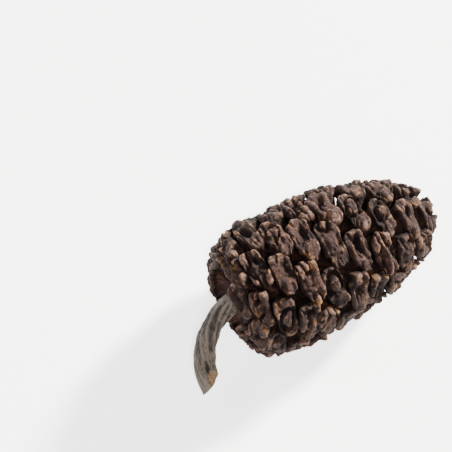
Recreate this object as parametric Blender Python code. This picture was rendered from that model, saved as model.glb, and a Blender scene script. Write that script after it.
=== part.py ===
"""A ripe, open alder cone lying on its side, with the short woody stem that it hung from.

The cone is modelled as it grew, with its axis along +X from base to tip, and is then laid on its side.
Its scales follow one another up the axis by a fixed turn, as on the real cone. Each scale has a narrow
neck sunk in the axis and a thick, lobed end. Units are metres, +Z is up, and the origin is at the middle
of the bottom of the whole object's box.
"""

import math

import bmesh
import bpy
import numpy as np

MM = 0.001

# Cone outline, to the middles of the scale ends
SPAN = 19.8 * MM
FACE_RADIUS = 5.8 * MM
WIDEST_SHARE = 0.27
BASE_SHARE = -0.085
BASE_NARROWING = 0.95
BASE_FULLNESS = 0.5
BASE_SHARPNESS = 5.0
TIP_FULLNESS = 0.5
TIP_SHARPNESS = 2.2
TIP_OPENING = 0.01

# Order of the scales. Number 0 has its end at the first angle, and eleven more stand behind it at the base.
FIRST_NUMBER = -11
BODY_SCALES = 86
TIP_SCALES = 5
SCALE_STEPS = 75.7
CROWDING = -0.19
TIP_CROWDING = 0.55
BASE_CROWDING = 0.65
TURN = math.radians(136.9)
FIRST_ANGLE = math.radians(264.0)

# One scale
NECK_HALF_WIDTH = 0.5 * MM
NECK_HALF_THICKNESS = 0.3 * MM
END_HALF_WIDTH = 2.12 * MM
END_HALF_THICKNESS = 0.97 * MM
WIDTH_CURVE = 1.1
THICKNESS_CURVE = 3.0
SQUARENESS = 0.7
END_CURVE = 0.6
LIP_RISE = 0.38 * MM
LIP_INSET = 0.2
FACE_RISE = 0.4 * MM
END_TWIST = math.radians(-3.0)
ROOT_FIRST_SHARE = 0.03
ROOT_LAST_SHARE = 0.83
NECK_BEND = 0.45
OUTLINE_BASE = 0.84
SIZE_AT_BASE = 0.84
SIZE_GROWTH = 0.16
GROWTH_SHARE = 0.22
TIP_SIZE_CURVE = 0.5
TIP_FULL_SIZE = 0.35
# Each lobe: angle round the scale's end, how far it stands out, and its spread
LOBES = ((0.0, 0.14, 20.0), (55.0, 0.18, 19.0), (125.0, 0.26, 19.0), (180.0, 0.14, 20.0), (240.0, 0.3, 28.0))
OUTLINE_ANGLES = (0, 30, 60, 95, 130, 155, 180, 210, 240, 275, 315)
RING_SHARES = (0.0, 0.65, 1.0)

# How much the scales differ from one another
VARIATION_SEED = 7
SIZE_VARIATION = 0.06
TWIST_VARIATION = math.radians(6.0)
LEAN_VARIATION = math.radians(5.0)
RADIUS_VARIATION = 0.03
LOBE_VARIATION = 0.5

# Axis that the scales grow from
AXIS_BASE_RADIUS = 1.3 * MM
AXIS_TIP_RADIUS = 0.6 * MM
AXIS_BACK = 0.5 * MM
AXIS_SIDES = 12

# How the cone lies
TIP_DROP = math.radians(3.9)
FLAT_DEPTH = 0.2 * MM

# Stem, as a curve from the cone's base to the broken end
STEM_ROUTE = ((-1.1, 0.0, 0.0), (-2.7, 0.4, -0.3), (-5.7, -1.35, -2.5), (-5.7, -4.4, -4.1))
STEM_RINGS = 11
STEM_SIDES = 12
STEM_RADIUS = 0.82 * MM
STEM_SWELLING = 0.12
STEM_SWELLING_CURVES = (6, 4)
STEM_GROOVE = 0.07
BREAK_SLANT = 0.55 * MM

# Plain colours, and the angle past which an edge is sharp
SCALE_COLOUR = (0.13, 0.075, 0.052)
STEM_COLOUR = (0.2, 0.16, 0.12)
SHARP_ANGLE = math.radians(40)


def start_empty():
    for old in list(bpy.data.objects):
        bpy.data.objects.remove(old)


def wood(name, colour, roughness):
    """A plain dry wood."""
    material = bpy.data.materials.new(name)
    material.use_nodes = True
    shader = material.node_tree.nodes["Principled BSDF"]
    shader.inputs["Base Color"].default_value = (*colour, 1.0)
    shader.inputs["Roughness"].default_value = roughness
    shader.inputs["Metallic"].default_value = 0.0
    return material


def mesh_object(name, points, faces, material):
    """An object from points and faces, with its faces turned outwards."""
    mesh = bpy.data.meshes.new(name)
    mesh.from_pydata([tuple(point) for point in points], [], faces)
    solid = bmesh.new()
    solid.from_mesh(mesh)
    bmesh.ops.recalc_face_normals(solid, faces=solid.faces)
    bmesh.ops.triangulate(solid, faces=solid.faces)
    solid.to_mesh(mesh)
    solid.free()
    mesh.materials.append(material)
    made = bpy.data.objects.new(name, mesh)
    bpy.context.scene.collection.objects.link(made)
    return made


def tube_faces(rings, sides):
    """Side faces between rings of points that follow one another."""
    faces = []
    for ring in range(rings - 1):
        for side in range(sides):
            after = (side + 1) % sides
            low, high = ring * sides, (ring + 1) * sides
            faces.append((low + side, low + after, high + after, high + side))
    return faces


def scale_shares():
    """How far along the cone each scale's end sits, from 0 at the base to 1 at the tip."""
    share = (FIRST_NUMBER + np.arange(BODY_SCALES) + 0.5) / SCALE_STEPS
    share = share + CROWDING * share * (1 - share)
    share = np.where(share < 0, BASE_CROWDING * share, share)
    left = (1 - share[-1]) * TIP_CROWDING ** np.arange(1, TIP_SCALES + 1)
    return np.concatenate([share, 1 - left])


def outline_radius(share):
    """Distance of the scale ends from the axis: full at the widest share, rounding in to both ends."""
    before = np.clip((WIDEST_SHARE - share) / (WIDEST_SHARE - BASE_SHARE), 0, 1)
    past = np.clip((share - WIDEST_SHARE) / (1 - WIDEST_SHARE), 0, 1)
    towards_base = (1 - BASE_NARROWING * before ** BASE_SHARPNESS) ** BASE_FULLNESS
    towards_tip = (1 - (1 - TIP_OPENING) * past ** TIP_SHARPNESS) ** TIP_FULLNESS
    return FACE_RADIUS * np.where(share > WIDEST_SHARE, towards_tip, towards_base)


def outline_lean(share):
    """Angle by which the outline faces the tip (positive) or the base (negative)."""
    step = 0.01
    ahead, behind = np.minimum(share + step, 1), share - step
    return np.arctan2(outline_radius(behind) - outline_radius(ahead), SPAN * (ahead - behind))


def scale_size(share):
    """Scales are a little smaller near the base and shrink towards the tip."""
    near_base = SIZE_AT_BASE + SIZE_GROWTH * np.clip(share / GROWTH_SHARE, -1, 1)
    fullness = outline_radius(share) / FACE_RADIUS
    near_tip = fullness ** TIP_SIZE_CURVE * np.clip(fullness / TIP_FULL_SIZE, 0.5, 1)
    return np.where(share < WIDEST_SHARE, near_base, near_tip)


def unit(vectors):
    return vectors / np.linalg.norm(vectors, axis=-1, keepdims=True)


def blend(start, end, part):
    return start + (end - start) * part


def scale_points():
    """Points of every scale, by scale, ring and place round the ring, then the middle of each scale's end.

    A ring is a rounded oblong with five lobes, square to a curved spine that runs from the axis to the
    scale's end. The last ring is the lip, which stands out from the end and is drawn in.
    """
    draw = np.random.default_rng(VARIATION_SEED)
    share = scale_shares()
    count = len(share)
    size = scale_size(share) * (1 + SIZE_VARIATION * draw.uniform(-1, 1, count))
    twist = END_TWIST + TWIST_VARIATION * draw.uniform(-1, 1, count)
    lean = outline_lean(share) + LEAN_VARIATION * draw.uniform(-1, 1, count)
    radius = outline_radius(share) * (1 + RADIUS_VARIATION * draw.uniform(-1, 1, count))
    lobe_size = 1 + LOBE_VARIATION * draw.uniform(-1, 1, (count, len(LOBES)))

    angle = FIRST_ANGLE + TURN * (FIRST_NUMBER + np.arange(count))
    along = np.array([1.0, 0.0, 0.0])
    nothing = np.zeros(count)
    outward = np.stack([nothing, np.cos(angle), np.sin(angle)], axis=1)
    across = np.stack([nothing, -np.sin(angle), np.cos(angle)], axis=1)
    facing = np.cos(lean)[:, None] * outward + np.sin(lean)[:, None] * along

    root_share = np.maximum(blend(ROOT_FIRST_SHARE, ROOT_LAST_SHARE, share), 0)
    root = SPAN * root_share[:, None] * along + 0.5 * axis_radius(root_share)[:, None] * outward
    end = SPAN * share[:, None] * along + radius[:, None] * outward
    reach = np.linalg.norm(end - root, axis=1)
    bend = end - NECK_BEND * reach[:, None] * facing

    t = np.array(RING_SHARES)[None, :, None]
    spine = (1 - t) ** 2 * root[:, None] + 2 * t * (1 - t) * bend[:, None] + t ** 2 * end[:, None]
    ahead = unit(2 * (1 - t) * (bend - root)[:, None] + 2 * t * (end - bend)[:, None])
    turned = twist[:, None, None] * t ** 2
    flank = np.cross(ahead, np.broadcast_to(across[:, None], ahead.shape))
    wide = unit(across[:, None] * np.cos(turned) + flank * np.sin(turned))
    thick = np.cross(ahead, wide)

    t = t[..., 0]
    neck_size = np.clip(size, 0.6, 1)[:, None]
    half_width = blend(NECK_HALF_WIDTH * neck_size, END_HALF_WIDTH * size[:, None], t ** WIDTH_CURVE)
    half_thickness = blend(NECK_HALF_THICKNESS * neck_size, END_HALF_THICKNESS * size[:, None],
                           t ** THICKNESS_CURVE)

    phi = np.radians(OUTLINE_ANGLES)
    lobed = np.full((count, len(phi)), OUTLINE_BASE)
    for number, (place, height, spread) in enumerate(LOBES):
        apart = np.abs((np.degrees(phi) - place + 180) % 360 - 180)
        lobed += lobe_size[:, number:number + 1] * height * np.exp(-0.5 * (apart / spread) ** 2)
    lobed = blend(1, lobed[:, None], t[..., None] ** 2)
    side = np.sign(np.cos(phi)) * np.abs(np.cos(phi)) ** SQUARENESS * lobed * half_width[..., None]
    rise = np.sign(np.sin(phi)) * np.abs(np.sin(phi)) ** SQUARENESS * lobed * half_thickness[..., None]
    rings = spine[:, :, None] + side[..., None] * wide[:, :, None] + rise[..., None] * thick[:, :, None]
    curl_radius = np.maximum(radius, 0.5 * FACE_RADIUS)[:, None, None]
    curl = END_CURVE * side ** 2 / (2 * curl_radius) * t[..., None] ** 2
    rings -= curl[..., None] * facing[:, None, None]

    lift = size[:, None] * facing
    lip = end[:, None] + (1 - LIP_INSET) * (rings[:, -1] - end[:, None]) + LIP_RISE * lift[:, None]
    middle = end + FACE_RISE * lift
    return np.concatenate([rings, lip[:, None]], axis=1), middle


def axis_radius(share):
    """The axis tapers evenly from the base to where the last scale grows."""
    return AXIS_BASE_RADIUS + (AXIS_TIP_RADIUS - AXIS_BASE_RADIUS) * share / ROOT_LAST_SHARE


def make_axis(material):
    """The tapered rod in the middle of the cone."""
    turn = np.linspace(0, 2 * math.pi, AXIS_SIDES, endpoint=False)
    points = []
    for place, radius in ((-AXIS_BACK, AXIS_BASE_RADIUS), (SPAN * ROOT_LAST_SHARE, AXIS_TIP_RADIUS)):
        points += [(place, radius * math.cos(a), radius * math.sin(a)) for a in turn]
    faces = tube_faces(2, AXIS_SIDES)
    faces.append(tuple(range(AXIS_SIDES)))
    faces.append(tuple(range(AXIS_SIDES, 2 * AXIS_SIDES)))
    return mesh_object("cone", points, faces, material)


def make_scales(material):
    """One closed solid for each scale, in a collection of their own."""
    rings, middles = scale_points()
    ring_count, sides = rings.shape[1:3]
    last = (ring_count - 1) * sides
    faces = tube_faces(ring_count, sides)
    faces.append(tuple(range(sides)))
    faces += [(last + side, last + (side + 1) % sides, last + sides) for side in range(sides)]
    scales = bpy.data.collections.new("scales")
    for ring_points, middle in zip(rings, middles):
        points = np.vstack([ring_points.reshape(-1, 3), middle])
        scale = mesh_object("scale", points, faces, material)
        bpy.context.scene.collection.objects.unlink(scale)
        scales.objects.link(scale)
    bpy.context.scene.collection.children.link(scales)
    return scales


def keep_result(made):
    """Puts what the modifiers make into the object's own mesh."""
    evaluated = made.evaluated_get(bpy.context.evaluated_depsgraph_get())
    mesh = bpy.data.meshes.new_from_object(evaluated)
    made.modifiers.clear()
    made.data = mesh


def grow_together(axis, scales):
    """Joins the axis and all the scales in one solid."""
    union = axis.modifiers.new("scales", "BOOLEAN")
    union.operation = "UNION"
    union.operand_type = "COLLECTION"
    union.collection = scales
    union.solver = "EXACT"
    keep_result(axis)
    for scale in list(scales.objects):
        bpy.data.objects.remove(scale)
    bpy.data.collections.remove(scales)


def mesh_points(made):
    flat = np.empty(3 * len(made.data.vertices))
    made.data.vertices.foreach_get("co", flat)
    return flat.reshape(-1, 3)


def move_points(made, points):
    made.data.vertices.foreach_set("co", np.ascontiguousarray(points).ravel())
    made.data.update()


def lay_down(cone):
    """Lays the cone on its side, tip lower than the base, on small flats at z = 0.

    Returns how far the lowest scale ends were from the axis at the cone's base.
    """
    points = mesh_points(cone)
    cos, sin = math.cos(TIP_DROP), math.sin(TIP_DROP)
    laid = points @ np.array([[cos, 0, -sin], [0, 1, 0], [sin, 0, cos]])
    height = -laid[:, 2].min() - FLAT_DEPTH
    laid[:, 2] += height
    move_points(cone, laid)

    low, high = laid.min(axis=0) - 1 * MM, laid.max(axis=0) + 1 * MM
    corners = [(x, y, z) for x in (low[0], high[0]) for y in (low[1], high[1]) for z in (low[2], 0.0)]
    sides = [(0, 1, 3, 2), (4, 5, 7, 6), (0, 1, 5, 4), (2, 3, 7, 6), (0, 2, 6, 4), (1, 3, 7, 5)]
    ground = mesh_object("ground", corners, sides, cone.data.materials[0])
    cut = cone.modifiers.new("flats", "BOOLEAN")
    cut.operation = "DIFFERENCE"
    cut.object = ground
    cut.solver = "EXACT"
    keep_result(cone)
    bpy.data.objects.remove(ground)
    return height


def make_stem(material, height):
    """A grooved tube along a smooth curve, with a slanted, broken end."""
    corner = np.array(STEM_ROUTE) * MM
    corner[:, 2] += height
    t = np.linspace(0, 1, STEM_RINGS)[:, None]
    weights = ((1 - t) ** 3, 3 * t * (1 - t) ** 2, 3 * t ** 2 * (1 - t), t ** 3)
    centre = sum(weight * point for weight, point in zip(weights, corner))
    ahead = unit(3 * ((1 - t) ** 2 * (corner[1] - corner[0]) + 2 * t * (1 - t) * (corner[2] - corner[1])
                      + t ** 2 * (corner[3] - corner[2])))
    side = unit(np.cross(ahead, (0.0, 0.0, 1.0)))
    above = np.cross(side, ahead)

    turn = np.linspace(0, 2 * math.pi, STEM_SIDES, endpoint=False)
    near_cone, near_break = STEM_SWELLING_CURVES
    swelling = 1 + STEM_SWELLING * ((1 - t) ** near_cone + t ** near_break)
    radius = STEM_RADIUS * swelling * (1 + STEM_GROOVE * np.cos(4 * turn))
    points = centre[:, None] + radius[..., None] * (
        np.cos(turn)[:, None] * side[:, None] + np.sin(turn)[:, None] * above[:, None])
    points[-1] += BREAK_SLANT * np.cos(turn)[:, None] * ahead[-1]
    faces = tube_faces(STEM_RINGS, STEM_SIDES)
    faces.append(tuple(range(STEM_SIDES)))
    faces.append(tuple(range((STEM_RINGS - 1) * STEM_SIDES, STEM_RINGS * STEM_SIDES)))
    return mesh_object("stem", points.reshape(-1, 3), faces, material)


def centre_all(objects):
    """Moves everything so that the origin is at the middle of the bottom of the whole box."""
    every = np.vstack([mesh_points(made) for made in objects])
    middle = (every.min(axis=0) + every.max(axis=0)) / 2
    middle[2] = every[:, 2].min()
    for made in objects:
        move_points(made, mesh_points(made) - middle)


def main():
    start_empty()
    scale_wood = wood("scales", SCALE_COLOUR, 0.7)
    stem_wood = wood("stem", STEM_COLOUR, 0.8)
    cone = make_axis(scale_wood)
    grow_together(cone, make_scales(scale_wood))
    height = lay_down(cone)
    stem = make_stem(stem_wood, height)
    centre_all([cone, stem])
    for made in (cone, stem):
        made.data.shade_smooth()
        made.data.set_sharp_from_angle(angle=SHARP_ANGLE)


main()
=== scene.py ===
import math

import bpy
import numpy as np
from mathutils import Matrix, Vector


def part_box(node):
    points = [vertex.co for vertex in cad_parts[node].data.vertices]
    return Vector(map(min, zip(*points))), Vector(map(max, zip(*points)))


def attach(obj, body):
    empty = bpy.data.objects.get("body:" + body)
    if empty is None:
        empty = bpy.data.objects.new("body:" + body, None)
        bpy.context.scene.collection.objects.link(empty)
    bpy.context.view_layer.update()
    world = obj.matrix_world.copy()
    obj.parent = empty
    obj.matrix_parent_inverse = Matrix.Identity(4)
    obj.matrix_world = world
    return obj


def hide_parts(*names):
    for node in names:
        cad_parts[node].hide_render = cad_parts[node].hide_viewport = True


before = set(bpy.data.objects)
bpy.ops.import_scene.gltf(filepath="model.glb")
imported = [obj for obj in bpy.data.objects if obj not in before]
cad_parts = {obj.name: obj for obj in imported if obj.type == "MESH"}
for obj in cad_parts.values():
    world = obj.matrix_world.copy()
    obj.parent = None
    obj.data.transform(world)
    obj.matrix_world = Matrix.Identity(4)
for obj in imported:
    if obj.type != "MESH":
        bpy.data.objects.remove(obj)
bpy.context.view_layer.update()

mm = 0.001  # the shapes below are worked out in millimetres


def unit(vectors):
    # each vector over its own length
    return vectors / np.linalg.norm(vectors, axis=-1, keepdims=True)


def blend(start, end, part):
    # from the start to the end by that part
    return start + (end - start) * part


def smoothStep(low, high, value):
    # from zero at the low value to one at the high one, level at both
    part = np.clip((value - low) / (high - low), 0, 1)
    return part * part * (3 - 2 * part)


def bump(distance, width):
    # a bell: one at no distance, falling off over the width
    return np.exp(-(distance / width) ** 2)


def latticeNoise(points, seed):
    # smooth noise from -1 to 1: random values on a unit grid, eased from one grid point to the next
    cell = np.floor(points).astype(np.int64)
    part = points - cell
    part = part ** 3 * (part * (part * 6 - 15) + 10)
    total = np.zeros(points.shape[:-1])
    for corner in np.ndindex(2, 2, 2):
        at = cell + corner
        mixed = at[..., 0] * 73856093 ^ at[..., 1] * 19349663 ^ at[..., 2] * 83492791
        mixed = mixed ^ (seed + 1) * 2654435761
        mixed = (mixed ^ (mixed >> 13)) * 1274126177 & 0x7FFFFFFF
        value = (mixed >> 7 & 0xFFFF) / 32767.5 - 1
        weight = np.prod(np.where(corner, part, 1 - part), axis=-1)
        total += weight * value
    return total


def ridgedNoise(points, seed, octaves=3):
    # folds: one minus the size of the noise, so that its zero lines stand up as creases
    total, height = 0, 1.0
    for octave in range(octaves):
        total = total + height * (1 - 2 * np.abs(latticeNoise(points * 2 ** octave, seed + 11 * octave)))
        height *= 0.5
    return total / 1.75


# How the scales stand on the cone while its axis still runs along +X, base to tip. Angles are in degrees.
cone = {
    "span": 19.8,            # between the outermost scale ends
    "faceRadius": 5.8,       # from the axis to the middles of the scale ends
    "widestShare": 0.27,
    "baseShare": -0.085,     # where the outline would close behind the base
    "baseNarrowing": 0.95,
    "baseFullness": 0.5,
    "baseSharpness": 5.0,
    "tipFullness": 0.5,
    "tipSharpness": 2.2,
    "tipOpening": 0.01,
    "firstNumber": -11,      # so eleven scales stand behind the others at the base
    "bodyScales": 86,
    "tipScales": 5,
    "scaleSteps": 75.7,
    "crowding": -0.19,
    "tipCrowding": 0.55,
    "baseCrowding": 0.65,
    "turn": 136.9,
    "firstAngle": 264.0,
    "tipDrop": 3.9,
    "seed": 7,
    # how the scale ends grow from the base on and shrink to the tip, and by how much each may vary
    "sizeAtBase": 0.84,
    "sizeGrowth": 0.16,
    "growthShare": 0.22,
    "tipSizeCurve": 0.5,
    "tipFullSize": 0.35,
    "smallestTipSize": 0.5,
    "sizeVariation": 0.06,
    "twistVariation": 6.0,
    "leanVariation": 5.0,
    "radiusVariation": 0.03,
    "lobeVariation": 0.5,
}

# One scale: a narrow neck that opens into a thick, crumpled end with five lobes and a raised lip
scale = {
    "neckHalfWidth": 0.5,
    "neckHalfThickness": 0.3,
    "endHalfWidth": 2.12,
    "endHalfThickness": 0.97,
    "squareness": 0.7,
    "endCurve": 0.6,
    "lipRise": 0.38,
    "lipInset": 0.2,
    "faceRise": 0.40,
    "endTwist": -3.0,
    "rootFirst": 0.03,     # how far up the axis the first and the last scale grow
    "rootLast": 0.83,
    "neckBend": 0.45,
    "outlineBase": 0.84,
    "widthCurve": 1.1,
    "thicknessCurve": 3,
    "smallestNeck": 0.6,
    # each lobe: angle round the end, how far it stands out, and its spread
    "lobes": (
        (0.0, 0.14, 20.0),
        (55.0, 0.18, 19.0),
        (125.0, 0.26, 19.0),
        (180.0, 0.14, 20.0),
        (240.0, 0.30, 28.0),
    ),
    "outlineAngles": (0, 30, 60, 95, 130, 155, 180, 210, 240, 275, 315),  # where the solid has its corners
    "sideRows": 16,
    "sideRowCurve": 1.6,     # rows lie closer together towards the rim
    "faceRows": 30,
    "faceRowCurve": 1.25,
    "around": 96,
    "groups": 5,             # the scales are shared out over this many pieces
    "dome": 0.10,            # how far the end swells towards its middle
    "lipWidth": 0.30,
    "drift": (0.40, 0.26),   # how far the forms below stray along the end and across its thickness
    "driftGrain": 0.8,
    # the cup: its place and radii, along the end and across its thickness, and how far it wanders
    "cupPlace": (-0.50, 0.05),
    "cupRadius": (0.95, 0.40),
    "cupWander": (0.35, 0.10),
    "cupDepth": 0.80,
    # on some scales a pitted knob in a ring groove takes the cup's place, and on others folds do
    "knobHeight": 0.42,
    "knobRadius": 0.44,
    "pitDepth": 0.22,
    "pitRadius": 0.13,
    "grooveDepth": 0.60,
    "grooveRadius": 0.62,
    "grooveWidth": 0.2,
    "lobePlace": (1.15, -0.08),
    "lobeRadius": (0.6, 0.5),
    "lobeHeight": 0.30,
    "foldHeight": 0.36,
    "foldGrain": (0.5, 1.7),
    "fineFoldGrain": (1.3, 3.4),
    "knee": 0.42,            # what stands higher than this loses that part of what it has more
    "kneeLoss": 0.65,
    "notchPlaces": (90, 208, 325),
    "notchSpread": 9.0,
    "notchDepth": 0.16,
    "ribHeight": 0.13,       # along the flanks
    "ribGrain": (2.4, 1.3),  # round the scale and along it
    "ribStart": (0.15, 0.7),
    "crumple": 0.12,
    "crumpleGrain": 0.8,
    "wrinkle": 0.085,
    "wrinkleGrain": 2.2,
    "smallEndCrumple": 0.3,  # the small ends at the tip are rounder
    "smallEndSizes": (0.5, 0.95),
}


def outlineRadius(share):
    # distance of the scale ends from the axis: full at the widest share, rounding in to both ends
    before = np.clip((cone["widestShare"] - share) / (cone["widestShare"] - cone["baseShare"]), 0, 1)
    past = np.clip((share - cone["widestShare"]) / (1 - cone["widestShare"]), 0, 1)
    towardsBase = (1 - cone["baseNarrowing"] * before ** cone["baseSharpness"]) ** cone["baseFullness"]
    towardsTip = (1 - (1 - cone["tipOpening"]) * past ** cone["tipSharpness"]) ** cone["tipFullness"]
    return cone["faceRadius"] * np.where(share > cone["widestShare"], towardsTip, towardsBase)


# The woody axis that the scales grow from
axis = {
    "baseRadius": 1.3,
    "tipRadius": 0.6,
    "back": 0.5,
    "rows": 60,
    "around": 40,
    "ribs": 8,
    "ribHeight": 0.12,
    "ribWinding": 9,
    "roughness": 0.06,
    "grain": 2.0,
}


def axisRadius(share):
    # a straight taper from the base to where the last scale grows
    return blend(axis["baseRadius"], axis["tipRadius"], share / scale["rootLast"])


def growScales():
    # Number n stands n turns round the axis, and a little further along it each time.
    # The draws come in the same order as the solid's, so each scale keeps its own size and lean.
    draw = np.random.default_rng(cone["seed"])
    number = cone["firstNumber"] + np.arange(cone["bodyScales"])
    share = (number + 0.5) / cone["scaleSteps"]
    share = share + cone["crowding"] * share * (1 - share)
    share = np.where(share < 0, cone["baseCrowding"] * share, share)
    left = (1 - share[-1]) * cone["tipCrowding"] ** np.arange(1, cone["tipScales"] + 1)
    share = np.concatenate([share, 1 - left])
    count = len(share)

    fullness = outlineRadius(share) / cone["faceRadius"]
    nearBase = cone["sizeAtBase"] + cone["sizeGrowth"] * np.clip(share / cone["growthShare"], -1, 1)
    nearTip = fullness ** cone["tipSizeCurve"] * np.clip(
        fullness / cone["tipFullSize"], cone["smallestTipSize"], 1)
    size = np.where(share < cone["widestShare"], nearBase, nearTip)

    def vary(most):
        return most * draw.uniform(-1, 1, count)

    size = size * (1 + vary(cone["sizeVariation"]))
    twist = math.radians(scale["endTwist"]) + vary(math.radians(cone["twistVariation"]))
    ahead, behind = np.minimum(share + 0.01, 1), share - 0.01
    lean = np.arctan2(outlineRadius(behind) - outlineRadius(ahead), cone["span"] * (ahead - behind))
    lean = lean + vary(math.radians(cone["leanVariation"]))
    radius = outlineRadius(share) * (1 + vary(cone["radiusVariation"]))
    lobeSize = 1 + cone["lobeVariation"] * draw.uniform(-1, 1, (count, len(scale["lobes"])))

    turns = cone["firstNumber"] + np.arange(count)
    angle = np.radians(cone["firstAngle"]) + np.radians(cone["turn"]) * turns
    lengthwise = np.array([1.0, 0.0, 0.0])
    nothing = np.zeros(count)
    outward = np.stack([nothing, np.cos(angle), np.sin(angle)], axis=1)
    across = np.stack([nothing, -np.sin(angle), np.cos(angle)], axis=1)
    facing = np.cos(lean)[:, None] * outward + np.sin(lean)[:, None] * lengthwise
    rootShare = np.maximum(blend(scale["rootFirst"], scale["rootLast"], share), 0)
    root = cone["span"] * rootShare[:, None] * lengthwise + 0.5 * axisRadius(rootShare)[:, None] * outward
    end = cone["span"] * share[:, None] * lengthwise + radius[:, None] * outward
    return {"share": share, "size": size, "twist": twist, "radius": radius, "lobeSize": lobeSize,
            "across": across, "facing": facing, "root": root, "end": end}


def lobedOutline(grown, phi):
    # how far the outline of each end stands out at angle phi: a base plus one bell for each lobe
    lobed = np.full((len(grown["size"]), len(phi)), scale["outlineBase"])
    for number, (place, height, spread) in enumerate(scale["lobes"]):
        apart = np.abs((np.degrees(phi) - place + 180) % 360 - 180)
        lobed += grown["lobeSize"][:, number:number + 1] * height * np.exp(-0.5 * (apart / spread) ** 2)
    return lobed


def sideSurface(grown, t, phi):
    # Points by scale, t and phi. The spine is a curve from root (t = 0) to end (t = 1) that leaves the end
    # straight down. Square to it lies a rounded oblong, which widens with t and takes on the lobes.
    size = grown["size"][:, None]
    root, end, facing = grown["root"][:, None], grown["end"][:, None], grown["facing"][:, None]
    reach = np.linalg.norm(end - root, axis=-1, keepdims=True)
    bend = end - scale["neckBend"] * reach * facing
    step = t[None, :, None]
    spine = (1 - step) ** 2 * root + 2 * step * (1 - step) * bend + step ** 2 * end
    ahead = unit(2 * (1 - step) * (bend - root) + 2 * step * (end - bend))
    turned = grown["twist"][:, None, None] * step ** 2
    across = np.broadcast_to(grown["across"][:, None], ahead.shape)
    wide = unit(across * np.cos(turned) + np.cross(ahead, across) * np.sin(turned))
    thick = np.cross(ahead, wide)

    neckSize = np.clip(size, scale["smallestNeck"], 1)
    halfWidth = blend(scale["neckHalfWidth"] * neckSize,
                      scale["endHalfWidth"] * size, t ** scale["widthCurve"])
    halfThickness = blend(scale["neckHalfThickness"] * neckSize,
                          scale["endHalfThickness"] * size, t ** scale["thicknessCurve"])
    lobed = blend(1, lobedOutline(grown, phi)[:, None], t[None, :, None] ** 2)
    cos, sin = np.cos(phi), np.sin(phi)
    side = np.sign(cos) * np.abs(cos) ** scale["squareness"] * lobed * halfWidth[..., None]
    rise = np.sign(sin) * np.abs(sin) ** scale["squareness"] * lobed * halfThickness[..., None]
    points = spine[:, :, None] + side[..., None] * wide[:, :, None] + rise[..., None] * thick[:, :, None]
    curlRadius = np.maximum(grown["radius"], 0.5 * cone["faceRadius"])[:, None, None]
    curl = scale["endCurve"] * side ** 2 / (2 * curlRadius) * step ** 2
    return points - curl[..., None] * facing[:, None], wide, thick, side[:, -1], rise[:, -1]


def along(number):
    # one value for each scale, ready to meet rows and columns
    return number[:, None, None]


def fullSized(size):
    # how much of their crumpling the ends of that size have: less on the small ones
    return blend(scale["smallEndCrumple"], 1.0, smoothStep(*scale["smallEndSizes"], size))


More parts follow.
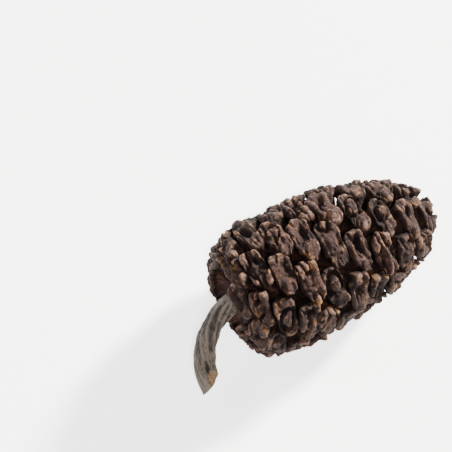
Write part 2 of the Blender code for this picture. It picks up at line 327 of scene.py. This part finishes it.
def endRelief(grown, rho, phi, rimAcross, rimThick, character):
    # Height of the end over its rim, in millimetres of a full-sized scale, at rho (1 at the rim, 0 in the
    # middle) and phi: a dome and a rounded lip, then by the scale's kind a cup, a knob in a ring groove or
    # deeper folds, a solid lobe beside them, folds that run along the end, and notches between the lobes.
    across, thick = rho[None, :, None] * rimAcross, rho[None, :, None] * rimThick
    inward = (1 - rho)[None, :, None] * np.hypot(rimAcross, rimThick)
    # each scale reads a part of the noise of its own
    kind = np.broadcast_to(along(17.3 * np.arange(len(character))), across.shape)
    grain = scale["driftGrain"]
    driftAcross = scale["drift"][0] * latticeNoise(
        np.stack([grain * across + 3, grain * thick, kind], axis=-1), 1)
    driftThick = scale["drift"][1] * latticeNoise(
        np.stack([grain * across, grain * thick + 9, kind], axis=-1), 2)
    drifted = across + driftAcross, thick + driftThick

    def spot(where, radius, apart=(0.0, 0.0)):
        # a bell round that place, apart from it by a little, with a radius each way
        return np.exp(-((drifted[0] - where[0] - apart[0]) / radius[0]) ** 2
                      - ((drifted[1] - where[1] - apart[1]) / radius[1]) ** 2)

    # the lip is highest at the lobes and on the side towards the tip
    lobed = (lobedOutline(grown, phi) - scale["outlineBase"])[:, None]
    quarter = np.clip(inward / scale["lipWidth"], 0, 1)
    rounded = np.sqrt(1 - (1 - quarter) ** 2)
    tipward = smoothStep(-0.2, 0.5, thick)
    height = 0.9 * scale["lipRise"] * (0.5 + 2.0 * lobed) * (1 + 0.5 * tipward) * rounded
    height = height + scale["dome"] * (1 - rho[None, :, None] ** 2)

    # which of the three kinds each scale is, by how much
    nature = along(character[:, 3])
    knobbed, folded = smoothStep(0.1, 0.5, nature), 1 - smoothStep(-0.6, -0.2, nature)
    apart = [most * along(character[:, number]) for number, most in enumerate(scale["cupWander"])]
    cup = spot(scale["cupPlace"], scale["cupRadius"], apart) * (1 - 0.9 * knobbed - 0.6 * folded)
    height = height - scale["cupDepth"] * (1 + 0.25 * along(character[:, 2])) * cup * rounded
    away = np.hypot((drifted[0] + 0.25 - apart[0] + 0.5 * drifted[1]) / 1.5, drifted[1] - apart[1])
    knob = scale["knobHeight"] * bump(away, scale["knobRadius"])
    knob = knob - scale["pitDepth"] * bump(away, scale["pitRadius"])
    knob = knob - scale["grooveDepth"] * bump(away - scale["grooveRadius"], scale["grooveWidth"])
    height = height + knobbed * knob * rounded
    height = height + scale["lobeHeight"] * (1 + 0.5 * along(character[:, 4])) * spot(
        scale["lobePlace"], scale["lobeRadius"])

    # folds: few and broad, along the end, with sharp creases between them
    coarse, fine = (latticeNoise(
        np.stack([each[0] * drifted[0], each[1] * drifted[1], kind + start], axis=-1), seed)
        for each, start, seed in ((scale["foldGrain"], 5, 7), (scale["fineFoldGrain"], 9, 8)))
    folds = np.abs(coarse) * 2 + 0.5 * np.abs(fine) - 0.6
    height = height + scale["foldHeight"] * (1 + 1.4 * folded) * folds * (1 - 0.4 * cup) * rounded
    height = np.minimum(height, blend(height, scale["knee"], scale["kneeLoss"]))
    notches = sum(bump((np.degrees(phi) - angle + 180) % 360 - 180, scale["notchSpread"])
                  for angle in scale["notchPlaces"])
    depth = scale["notchDepth"] * fullSized(along(grown["size"]))
    return height - depth * notches * smoothStep(0.45, 0.85, rho)[None, :, None] * rounded


def gridNormals(grid):
    # square to both directions of the grid, which closes on itself along its last direction but one
    down = np.gradient(grid, axis=-3)
    beside = np.roll(grid, -1, axis=-2) - np.roll(grid, 1, axis=-2)
    return unit(np.cross(beside, down) + 1e-12)


def layDown(points):
    # the cone as it lies, with its tip dropped
    drop = math.radians(cone["tipDrop"])
    cos, sin = math.cos(drop), math.sin(drop)
    return points @ np.array([[cos, 0, -sin], [0, 1, 0], [sin, 0, cos]])


def closedTubes(name, grids, startPoles, endPoles, attributes):
    # One mesh of closed tubes: each grid of rows and columns is wrapped round, and a point closes each end.
    # Attributes hold a value for every grid point; a pole takes its row's mean.
    count, rows, around = grids.shape[:3]
    each = rows * around + 2
    points = np.concatenate([grids.reshape(count, -1, 3), startPoles[:, None], endPoles[:, None]], axis=1)
    row, column = np.meshgrid(np.arange(rows - 1), np.arange(around), indexing="ij")
    after = (column + 1) % around
    quads = np.stack([row * around + column, row * around + after,
                      (row + 1) * around + after, (row + 1) * around + column], axis=-1).reshape(-1, 4)
    column = np.arange(around)
    after = (column + 1) % around
    last = (rows - 1) * around
    startCap = np.stack([after, column, np.full(around, each - 2)], axis=-1)
    endCap = np.stack([last + column, last + after, np.full(around, each - 1)], axis=-1)
    corners = np.concatenate([quads.ravel(), startCap.ravel(), endCap.ravel()])
    sizes = np.concatenate([np.full(len(quads), 4), np.full(2 * around, 3)])
    corners = (corners[None] + each * np.arange(count)[:, None]).ravel()
    sizes = np.tile(sizes, count)

    mesh = bpy.data.meshes.new(name)
    mesh.vertices.add(count * each)
    mesh.vertices.foreach_set("co", (points * mm).astype(np.float32).ravel())
    mesh.loops.add(len(corners))
    mesh.loops.foreach_set("vertex_index", corners.astype(np.int32))
    mesh.polygons.add(len(sizes))
    mesh.polygons.foreach_set("loop_start", (np.cumsum(sizes) - sizes).astype(np.int32))
    mesh.update(calc_edges=True)
    for title, values in attributes.items():
        values = np.broadcast_to(values, (count, rows, around))
        poles = values[:, (0, -1)].mean(axis=-1)
        layer = mesh.attributes.new(title, "FLOAT", "POINT")
        layer.data.foreach_set("value", np.concatenate([values.reshape(count, -1), poles], axis=1)
                               .astype(np.float32).ravel())
    mesh.validate()
    mesh.shade_smooth()
    piece = bpy.data.objects.new(name, mesh)
    bpy.context.scene.collection.objects.link(piece)
    return piece


def crests(grid, normals, step):
    # how far each point stands out of its neighbours, that many steps away along and round the grid
    before = np.concatenate([np.repeat(grid[:, :1], step, axis=1), grid[:, :-step]], axis=1)
    after = np.concatenate([grid[:, step:], np.repeat(grid[:, -1:], step, axis=1)], axis=1)
    ring = np.roll(grid, step, axis=2) + np.roll(grid, -step, axis=2)
    return np.sum((grid - (before + after + ring) / 4) * normals, axis=-1)


def makeScales(grown, shift):
    # Each scale is its flanks and then its end, in one grid that runs from the root to the end's middle.
    t = 1 - (1 - np.linspace(0, 1, scale["sideRows"])) ** scale["sideRowCurve"]
    rho = 1 - np.linspace(0, 1, scale["faceRows"] + 2)[1:-1] ** scale["faceRowCurve"]
    phi = np.linspace(0, 2 * math.pi, scale["around"], endpoint=False)
    count = len(grown["size"])
    draw = np.random.default_rng(cone["seed"] + 1)
    character = draw.uniform(-1, 1, (count, 8))
    kind = np.broadcast_to(along(11.7 * np.arange(count)), (count, len(t), len(phi)))
    size = along(grown["size"])

    # flanks, with ribs that run from the neck to the end
    side, wide, thick, rimAcross, rimThick = sideSurface(grown, t, phi)
    grainAround, grainAlong = scale["ribGrain"]
    flank = np.stack(np.broadcast_arrays(
        grainAround * np.cos(phi), grainAround * np.sin(phi), grainAlong * t[:, None] + kind), axis=-1)
    growing = smoothStep(*scale["ribStart"], t)[None, :, None]
    ribs = scale["ribHeight"] * ridgedNoise(flank, 13, 2) * growing * size
    outwards = np.cos(phi)[:, None] * wide[:, :, None] + np.sin(phi)[:, None] * thick[:, :, None]
    side = side + ribs[..., None] * outwards

    rim, middle, facing = side[:, -1:], grown["end"][:, None, None], grown["facing"][:, None, None]
    height = endRelief(grown, rho, phi, rimAcross[:, None] / size, rimThick[:, None] / size, character)
    face = middle + rho[None, :, None, None] * (rim - middle) + (height * size)[..., None] * facing
    grid = np.concatenate([side, face], axis=1)

    # crumpling, pushed along the surface's own normals, strongest on the end
    sample = grid + 40.0 * character[:, None, None, :3]
    swells = ridgedNoise(sample * scale["crumpleGrain"], 3, 2)
    wrinkles = ridgedNoise(sample * scale["wrinkleGrain"], 5, 2)
    outer = np.concatenate([smoothStep(0.25, 1.0, t), np.ones(len(rho))])[None, :, None]
    push = scale["wrinkle"] * wrinkles - scale["crumple"] * swells
    push = push * blend(0.15, 1.0, outer) * size * fullSized(size)
    grid = grid + push[..., None] * gridNormals(grid)

    # what the colours follow: fine and broad crests, and how high the relief stands
    normals = gridNormals(grid)
    fineCrest, broadCrest = (crests(grid, normals, step) / size for step in (1, 4))
    crest = smoothStep(-0.08, 0.22, 1.2 * fineCrest + 1.3 * broadCrest)
    raised = np.concatenate([0.1 + 3.0 * ribs / size, 0.1 + height], axis=1) + push / size
    raised = smoothStep(-0.2, 0.75, raised) * blend(0.5, 1.0, outer)
    values = {
        "raised": raised,
        "crest": crest,
        "outer": np.broadcast_to(outer, raised.shape),
        "tone": np.broadcast_to(along(character[:, 6]), raised.shape),
    }
    startPole = grown["root"]
    endPole = grid[:, -1].mean(axis=1)
    grid, startPole, endPole = (layDown(points) + shift for points in (grid, startPole, endPole))
    grid[..., 2] = np.maximum(grid[..., 2], 0)
    endPole[:, 2] = np.maximum(endPole[:, 2], 0)

    pieces = []
    for share in range(scale["groups"]):
        mine = slice(share, None, scale["groups"])
        pieces.append(closedTubes(f"scales{share + 1}", grid[mine], startPole[mine], endPole[mine],
                                  {title: layer[mine] for title, layer in values.items()}))
    return pieces


def makeAxis(shift):
    # a tapered rod with low ribs that wind slowly round it, closed at both ends
    share = np.linspace(-axis["back"] / cone["span"], scale["rootLast"], axis["rows"])[:, None]
    phi = np.linspace(0, 2 * math.pi, axis["around"], endpoint=False)
    radius = axisRadius(np.maximum(share, 0)) * (
        1 + axis["ribHeight"] * np.sin(axis["ribs"] * phi + axis["ribWinding"] * share))
    grid = np.stack([np.broadcast_to(cone["span"] * share, radius.shape),
                     radius * np.cos(phi), radius * np.sin(phi)], axis=-1)
    radius = radius + axis["roughness"] * ridgedNoise(grid * axis["grain"], 21)
    grid = np.stack([grid[..., 0], radius * np.cos(phi), radius * np.sin(phi)], axis=-1)
    ends = [grid[row].mean(axis=0)[None] for row in (0, -1)]
    grid, start, end = (layDown(points) + shift for points in (grid[None], *ends))
    return closedTubes("coneAxis", grid, start, end,
                       {"raised": 0.25, "crest": 0.4, "outer": 0.1, "tone": 0.0})


# The stem: corner points of its curve from the cone's base, counted from where the axis starts
stem = {
    "route": ((-0.3, 0.0, 0.0), (-2.7, 0.4, -0.3), (-5.7, -1.35, -2.5), (-5.7, -4.4, -4.1)),
    "radius": 0.82,
    "swelling": 0.12,        # at the cone and at the break
    "swellingCurves": (6, 4),
    "lobes": 4,
    "lobeDepth": 0.07,
    "winding": 2.4,
    "grooveHeight": 0.11,
    "grooveGrain": (1.7, 2.4),       # round the stem and along it
    "creaseHeight": 0.06,
    "creaseGrain": (2.5, 2.5, 6.0),  # this many times finer than the grooves
    "splinterHeight": 0.16,
    "splinterGrain": 4.5,
    "slant": 0.55,
    "slantStart": 0.9,
    # where the bark is chipped off at the break: from where on, and at how many degrees round the stem
    "chipStart": (0.86, 0.99),
    "chipAngle": 135.0,
    # the split that runs to the break: its place and reach, along the stem and in degrees round it
    "splitPlace": (0.85, 100.0),
    "splitReach": (0.09, 9.0),
    "splitDepth": 0.2,
    "rows": 150,
    "endRows": 18,
    "around": 96,
}


def makeStem(shift):
    # A tube along a smooth curve. Its radius follows long grooves that wind a little, then fine bark
    # creases. At the broken end rows run on inwards over splinters to the middle.
    corner = np.array(stem["route"]) + shift
    t = np.linspace(0, 1, stem["rows"])[:, None]
    centre = sum(weight * point for weight, point in
                 zip(((1 - t) ** 3, 3 * t * (1 - t) ** 2, 3 * t ** 2 * (1 - t), t ** 3), corner))
    ahead = unit((1 - t) ** 2 * (corner[1] - corner[0]) + 2 * t * (1 - t) * (corner[2] - corner[1])
                 + t ** 2 * (corner[3] - corner[2]))
    side = unit(np.cross(ahead, (0.0, 0.0, 1.0)))
    above = np.cross(side, ahead)
    # round the other way than on the scales, so that the faces point out here too
    phi = np.linspace(2 * math.pi, 0, stem["around"], endpoint=False)
    ring = np.stack([np.cos(phi), np.sin(phi)], axis=-1)

    twisted = phi - stem["winding"] * t
    grainAround, grainAlong = stem["grooveGrain"]
    wound = np.stack(np.broadcast_arrays(
        grainAround * np.cos(twisted), grainAround * np.sin(twisted), grainAlong * t), axis=-1)
    grooves = ridgedNoise(wound, 31, 3)
    creases = ridgedNoise(wound * stem["creaseGrain"], 37, 2)
    atCone, atBreak = stem["swellingCurves"]
    radius = stem["radius"] * (1 + stem["swelling"] * ((1 - t) ** atCone + t ** atBreak))
    radius = radius * (1 + stem["lobeDepth"] * np.cos(stem["lobes"] * phi))
    radius = radius + stem["grooveHeight"] * grooves + stem["creaseHeight"] * creases
    split = bump(t - stem["splitPlace"][0], stem["splitReach"][0]) * bump(
        np.degrees(phi) - stem["splitPlace"][1], stem["splitReach"][1])
    radius = radius - stem["splitDepth"] * split
    grid = centre[:, None] + radius[..., None] * (
        ring[:, :1] * side[:, None] + ring[:, 1:] * above[:, None])
    slant = stem["slant"] * np.cos(phi)[:, None] * ahead[-1]
    taper = smoothStep(stem["slantStart"], 1.0, t)[..., None]
    grid = grid + slant * taper

    inward = np.linspace(1, 0, stem["endRows"] + 1)[1:-1, None]
    outFrom = stem["splinterGrain"] * inward
    splinters = stem["splinterHeight"] * ridgedNoise(np.stack(np.broadcast_arrays(
        outFrom * np.cos(phi), outFrom * np.sin(phi), 0.3), axis=-1), 41, 2)
    endCentre = centre[-1]
    cap = endCentre + inward[..., None] * (grid[-1] - endCentre) + (
        splinters * smoothStep(0, 0.2, 1 - inward))[..., None] * ahead[-1]
    whole = np.concatenate([grid, cap])
    raised = np.concatenate([0.5 + 0.4 * grooves + 0.25 * creases - split,
                             0.5 + 0.5 * splinters / stem["splinterHeight"]])
    chipped = smoothStep(*stem["chipStart"], t + 0.06 * grooves + 0.05 * creases) * smoothStep(
        0.2, 0.9, np.cos(phi - math.radians(stem["chipAngle"])))
    broken = np.concatenate([np.maximum(chipped, 0.6 * smoothStep(0.96, 1.0, t)),
                             np.ones(splinters.shape)])
    return closedTubes("stemBark", whole[None], centre[:1], cap[-1].mean(axis=0)[None],
                       {"raised": raised[None], "broken": broken[None]})


def group(name, inputs, outputs):
    # a node group with those sockets; an input without a value has None
    made = bpy.data.node_groups.new(name, "ShaderNodeTree")
    for title, kind, value in inputs:
        socket = made.interface.new_socket(title, in_out="INPUT", socket_type=kind)
        if value is not None:
            socket.default_value = value
    for title in outputs:
        made.interface.new_socket(title, in_out="OUTPUT", socket_type="NodeSocketFloat")
    return made, made.nodes.new("NodeGroupInput"), made.nodes.new("NodeGroupOutput")


def addNode(tree, kind, values=None, **settings):
    # a node with its settings made, and its inputs given values or linked to sockets
    node = tree.nodes.new(kind)
    for title, value in settings.items():
        setattr(node, title, value)
    for title, value in (values or {}).items():
        if isinstance(value, bpy.types.NodeSocket):
            tree.links.new(value, node.inputs[title])
        else:
            node.inputs[title].default_value = value
    return node


def mathNode(tree, operation, first, second):
    return addNode(tree, "ShaderNodeMath", {0: first, 1: second}, operation=operation).outputs[0]


def mixColour(tree, part, first, second, kind="MIX"):
    # colours are given as three numbers or as sockets
    colours = [colour if isinstance(colour, bpy.types.NodeSocket) else (*colour, 1.0)
               for colour in (first, second)]
    return addNode(tree, "ShaderNodeMix", {0: part, 6: colours[0], 7: colours[1]},
                   data_type="RGBA", blend_type=kind).outputs[2]


def rangeNode(tree, value, low, high, newLow=0.0, newHigh=1.0):
    return addNode(tree, "ShaderNodeMapRange", {
        0: value, 1: low, 2: high, 3: newLow, 4: newHigh}).outputs[0]


def makeGrainGroup():
    # patches and specks of dry wood: two noises, one coarse and one fine
    made, start, end = group("dryGrain", [("Vector", "NodeSocketVector", None)], ["Patches", "Specks"])
    noises = (
        {"Scale": 1.1, "Detail": 4.0, "Roughness": 0.6},
        {"Scale": 5.5, "Detail": 5.0, "Roughness": 0.65, "Distortion": 0.6},
    )
    for number, values in enumerate(noises):
        noise = addNode(made, "ShaderNodeTexNoise", {"Vector": start.outputs[0], **values})
        made.links.new(noise.outputs[0], end.inputs[number])
    return made


def makeWearGroup():
    # worn edges: what stands up, broken by the specks
    defaults = {"Raised": 0.5, "Specks": 0.5, "Low": 0.5, "High": 0.8}
    made, start, end = group(
        "wornEdges", [(title, "NodeSocketFloat", value) for title, value in defaults.items()], ["Mask"])
    specked = mathNode(made, "MULTIPLY", mathNode(made, "SUBTRACT", start.outputs[1], 0.5), 0.9)
    broken = mathNode(made, "ADD", start.outputs[0], specked)
    mask = addNode(made, "ShaderNodeMapRange", {0: broken, 1: start.outputs[2], 2: start.outputs[3]},
                   interpolation_type="SMOOTHSTEP")
    made.links.new(mask.outputs[0], end.inputs[0])
    return made


def startMaterial(name):
    material = bpy.data.materials.new(name)
    material.use_nodes = True
    return material, material.node_tree, material.node_tree.nodes["Principled BSDF"]


def readLayers(tree, *names):
    return [addNode(tree, "ShaderNodeAttribute", attribute_name=name).outputs["Fac"] for name in names]


def addGrain(tree, grain):
    # the patches and specks at each place on the piece, in millimetres
    coordinates = addNode(tree, "ShaderNodeTexCoord").outputs["Object"]
    inMillimetres = addNode(tree, "ShaderNodeMapping", {"Vector": coordinates, "Scale": (1 / mm,) * 3})
    return addNode(tree, "ShaderNodeGroup", {"Vector": inMillimetres.outputs[0]}, node_tree=grain).outputs


def addWear(tree, wear, raised, specks, limits):
    values = {"Raised": raised, "Specks": specks, "Low": limits[0], "High": limits[1]}
    return addNode(tree, "ShaderNodeGroup", values, node_tree=wear).outputs[0]


def finishWood(tree, shader, look, colour, specks):
    # both woods are rougher and stand up a little where the specks are
    tree.links.new(colour, shader.inputs["Base Color"])
    roughness = rangeNode(tree, specks, 0.3, 0.7, *look["roughness"])
    tree.links.new(roughness, shader.inputs["Roughness"])
    shader.inputs["Specular IOR Level"].default_value = look["specular"]
    relief = addNode(tree, "ShaderNodeBump", {
        "Strength": look["bumpStrength"], "Distance": look["bumpDistance"], "Height": specks})
    tree.links.new(relief.outputs[0], shader.inputs["Normal"])


# A range turns its first two numbers into the last two, or into 0 and 1
scaleLook = {
    # painted shade: the colour of the lowest, least worn places
    "shade": (0.0175, 0.0084, 0.0076),
    "brown": (0.0180, 0.0084, 0.0060),
    "tan": (0.128, 0.073, 0.052),
    "ochre": (0.140, 0.076, 0.028),
    "bloom": (0.040, 0.026, 0.029),
    "amber": (0.060, 0.024, 0.008),
    "brownRange": (0.15, 0.6),
    "wearShares": (0.5, 0.3, 0.7),       # from the crests, what is raised, and the patches
    "patchesMiddle": 0.35,
    "wearRange": (0.6, 1.06),
    "ochrePatches": (0.55, 0.62),
    "amberPatches": (0.52, 0.68),
    "amberCrests": (0.75, 0.35),
    "amberOuter": (0.3, 0.9, 0.2, 0.9),
    "bloomSpecks": (0.5, 0.75, 0.0, 0.35),
    # painted shade: darker where the relief is low
    "paintedHollowShade": (0.2, 0.85, 0.28, 1.12),
    # painted light: much paler down each neck, in the gaps between scales
    "paintedNeckLight": (0.0, 1.0, 9.0, 1.2),
    "tones": (-1.0, 1.0, 0.75, 1.25),
    "roughness": (0.55, 0.8),
    "specular": 0.16,
    "bumpStrength": 0.9,
    "bumpDistance": 0.00024,
}


def makeScaleWood(grain, wear):
    material, tree, shader = startMaterial("scaleWood")
    raised, crest, outer, tone = readLayers(tree, "raised", "crest", "outer", "tone")
    patches, specks = addGrain(tree, grain)
    # worn on crests and raised parts, and more in some patches than in others
    around = mathNode(tree, "SUBTRACT", patches, scaleLook["patchesMiddle"])
    fromCrest, fromRaised, fromPatches = (
        mathNode(tree, "MULTIPLY", value, share)
        for value, share in zip((crest, raised, around), scaleLook["wearShares"]))
    worn = mathNode(tree, "ADD", mathNode(tree, "ADD", fromCrest, fromRaised), fromPatches)
    wornMask = addWear(tree, wear, worn, specks, scaleLook["wearRange"])

    # painted shade where the wear measure is low, in each hollow and crease; brown where it rises
    brownPlace = rangeNode(tree, worn, *scaleLook["brownRange"])
    colour = mixColour(tree, brownPlace, scaleLook["shade"], scaleLook["brown"])
    amberPlace = mathNode(tree, "MULTIPLY", rangeNode(tree, patches, *scaleLook["amberPatches"]),
                          rangeNode(tree, crest, *scaleLook["amberCrests"]))
    amberPlace = mathNode(tree, "MULTIPLY", amberPlace, rangeNode(tree, outer, *scaleLook["amberOuter"]))
    colour = mixColour(tree, amberPlace, colour, scaleLook["amber"])
    ochrePlace = rangeNode(tree, patches, *scaleLook["ochrePatches"])
    pale = mixColour(tree, ochrePlace, scaleLook["tan"], scaleLook["ochre"])
    colour = mixColour(tree, wornMask, colour, pale)
    bloomPlace = mathNode(tree, "MULTIPLY", rangeNode(tree, specks, *scaleLook["bloomSpecks"]), outer)
    colour = mixColour(tree, bloomPlace, colour, scaleLook["bloom"])
    # painted shade where the ends' relief is low, painted light far down each neck to lift the gaps between
    # scales, and each scale with a tone of its own
    paintedShadeAndLight = mathNode(tree, "MULTIPLY", rangeNode(tree, raised, *scaleLook["paintedHollowShade"]),
                         rangeNode(tree, outer, *scaleLook["paintedNeckLight"]))
    brightness = mathNode(tree, "MULTIPLY", rangeNode(tree, tone, *scaleLook["tones"]), paintedShadeAndLight)
    grey = addNode(tree, "ShaderNodeCombineColor", {0: brightness, 1: brightness, 2: brightness})
    colour = mixColour(tree, 1.0, colour, grey.outputs[0], "MULTIPLY")
    finishWood(tree, shader, scaleLook, colour, specks)
    return material


stemLook = {
    "crease": (0.0140, 0.0105, 0.0085),
    "bark": (0.037, 0.0295, 0.0235),
    "worn": (0.132, 0.109, 0.088),
    "wood": (0.150, 0.073, 0.027),
    "woodPale": (0.215, 0.158, 0.092),
    "barkRange": (0.25, 0.75),
    "wearRange": (0.5, 0.95),
    "brokenRange": (0.45, 0.8),
    "paleSpecks": (0.35, 0.65),
    "roughness": (0.6, 0.85),
    "specular": 0.3,
    "bumpStrength": 0.8,
    "bumpDistance": 0.00007,
}


def makeStemWood(grain, wear):
    material, tree, shader = startMaterial("stemWood")
    raised, broken = readLayers(tree, "raised", "broken")
    patches, specks = addGrain(tree, grain)
    wornMask = addWear(tree, wear, raised, specks, stemLook["wearRange"])
    barkPlace = rangeNode(tree, raised, *stemLook["barkRange"])
    colour = mixColour(tree, barkPlace, stemLook["crease"], stemLook["bark"])
    colour = mixColour(tree, wornMask, colour, stemLook["worn"])
    # bare wood at the break, with a ragged edge that follows the grain
    ragged = mathNode(tree, "ADD", mathNode(tree, "SUBTRACT", patches, 0.5),
                      mathNode(tree, "SUBTRACT", specks, 0.5))
    brokenPlace = rangeNode(tree, mathNode(tree, "ADD", broken, ragged), *stemLook["brokenRange"])
    palePlace = rangeNode(tree, specks, *stemLook["paleSpecks"])
    wood = mixColour(tree, palePlace, stemLook["wood"], stemLook["woodPale"])
    colour = mixColour(tree, brokenPlace, colour, wood)
    finishWood(tree, shader, stemLook, colour, specks)
    return material


# The studio: where the photograph's centre falls, and the light.
# Pixels are those of the photograph, which is 452 wide.
studio = {
    "photoSide": 452,
    "basePixel": (242.5, 298.5),   # where the start of the cone's axis shows
    "pixelsPerMm": 11.24,
    "elevation": 66.0,
    "yaw": 29.1,                   # from the camera's right to the cone's axis
    "lens": 110.0,
    "sensor": 36.0,
    "nearest": 0.01,               # how near to the camera a thing may be and still show (m)
    "floor": (0.86, 0.86, 0.86),
    "floorRoughness": 0.9,
    "floorGlow": 0.9,              # what lights the cone; the floor itself shows paler
    "floorShown": 2.4,
    "floorSize": 12.0,
    "world": (0.95, 0.97, 1.0),
    "worldStrength": 0.2,          # what lights the cone; the backdrop itself shows paler
    "backdropStrength": 2.0,
    "lightsAimAt": (0.0, 0.0, 0.006),
    # each light: right, forward, up (m), size (m), strength (W), colour
    "lights": (
        (0.42, 0.36, 0.30, 0.09, 28.5, (1.0, 0.96, 0.90)),
        (-0.35, 0.10, 0.34, 0.16, 1.2, (0.86, 0.91, 1.0)),
        (0.02, -0.17, 0.38, 0.06, 1.8, (1.0, 0.92, 0.86)),
    ),
}


def cameraAxes():
    # right along the ground, forward along the ground, and up in the picture
    elevation, yaw = math.radians(studio["elevation"]), math.radians(studio["yaw"])
    right = np.array([math.cos(yaw), -math.sin(yaw), 0.0])
    forward = np.array([math.sin(yaw), math.cos(yaw), 0.0])
    up = math.sin(elevation) * forward + math.cos(elevation) * np.array([0.0, 0.0, 1.0])
    return right, forward, up


def aimed(name, data, position, target):
    # a light or camera at that position, turned to look at the target
    made = bpy.data.objects.new(name, data)
    bpy.context.scene.collection.objects.link(made)
    made.location = position
    direction = Vector(target) - Vector(position)
    made.rotation_euler = direction.to_track_quat("-Z", "Y").to_euler()
    return made


def makeStudio(axisStart):
    # The camera stands so far off that the picture is as wide at the cone as the photograph.
    right, forward, up = cameraAxes()
    towards = np.cross(right, up)
    half = studio["photoSide"] / 2
    offset = [(half - studio["basePixel"][0]) / studio["pixelsPerMm"],
              (studio["basePixel"][1] - half) / studio["pixelsPerMm"]]
    target = (axisStart + offset[0] * right + offset[1] * up) * mm
    width = studio["photoSide"] / studio["pixelsPerMm"] * mm
    distance = width * studio["lens"] / studio["sensor"]
    data = bpy.data.cameras.new("camera")
    data.lens, data.sensor_width = studio["lens"], studio["sensor"]
    data.clip_start = studio["nearest"]
    camera = aimed("camera", data, target + distance * towards, target)
    bpy.context.scene.camera = camera

    for number, (toRight, ahead, high, size, strength, colour) in enumerate(studio["lights"]):
        light = bpy.data.lights.new(f"light{number + 1}", "AREA")
        light.shape = "DISK"
        light.size, light.energy, light.color = size, strength, colour
        position = toRight * right + ahead * forward + np.array([0, 0, high])
        aimed(light.name, light, position, studio["lightsAimAt"])

    world = bpy.data.worlds.new("studio")
    world.use_nodes = True
    background = world.node_tree.nodes["Background"]
    background.inputs[0].default_value = (*studio["world"], 1.0)
    tree = world.node_tree
    seen = addNode(tree, "ShaderNodeLightPath").outputs["Is Camera Ray"]
    tree.links.new(rangeNode(tree, seen, 0.0, 1.0, studio["worldStrength"], studio["backdropStrength"]),
                   background.inputs[1])
    bpy.context.scene.world = world

    bpy.ops.mesh.primitive_plane_add(size=studio["floorSize"], location=(0, 0, 0))
    floor = bpy.context.object
    floor.name = "floor"
    material, tree, shader = startMaterial("floorPaint")
    shader.inputs["Base Color"].default_value = (*studio["floor"], 1.0)
    shader.inputs["Roughness"].default_value = studio["floorRoughness"]
    shader.inputs["Emission Color"].default_value = (1.0, 1.0, 1.0, 1.0)
    seen = addNode(tree, "ShaderNodeLightPath").outputs["Is Camera Ray"]
    tree.links.new(rangeNode(tree, seen, 0.0, 1.0, studio["floorGlow"], studio["floorShown"]),
                   shader.inputs["Emission Strength"])
    floor.data.materials.append(material)


def dress(piece, material, node):
    # every piece rides with the whole cone and stands in for one node
    piece.data.materials.append(material)
    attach(piece, "root")
    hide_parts(node)


grown = growScales()
# the same coarse points as the solid's scale ends, laid down, give the move that puts both in one place
middle, facing = grown["end"][:, None, None], grown["facing"][:, None, None]
rim = sideSurface(grown, np.array([1.0]), np.radians(scale["outlineAngles"]))[0]
lift = grown["size"][:, None, None, None] * facing
lip = middle + (1 - scale["lipInset"]) * (rim - middle) + scale["lipRise"] * lift
face = middle + scale["faceRise"] * lift
laid = layDown(np.concatenate([part.reshape(-1, 3) for part in (rim, lip, face)]))
shift = np.array(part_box("cone")[1]) / mm - laid.max(axis=0)
print("cone placed by", shift.round(3))

grain, wear = makeGrainGroup(), makeWearGroup()
scaleWood, stemWood = makeScaleWood(grain, wear), makeStemWood(grain, wear)
for piece in makeScales(grown, shift) + [makeAxis(shift)]:
    dress(piece, scaleWood, "cone")
print("scales and axis made")
dress(makeStem(shift), stemWood, "stem")
print("stem made")
makeStudio(shift)
print("studio made")
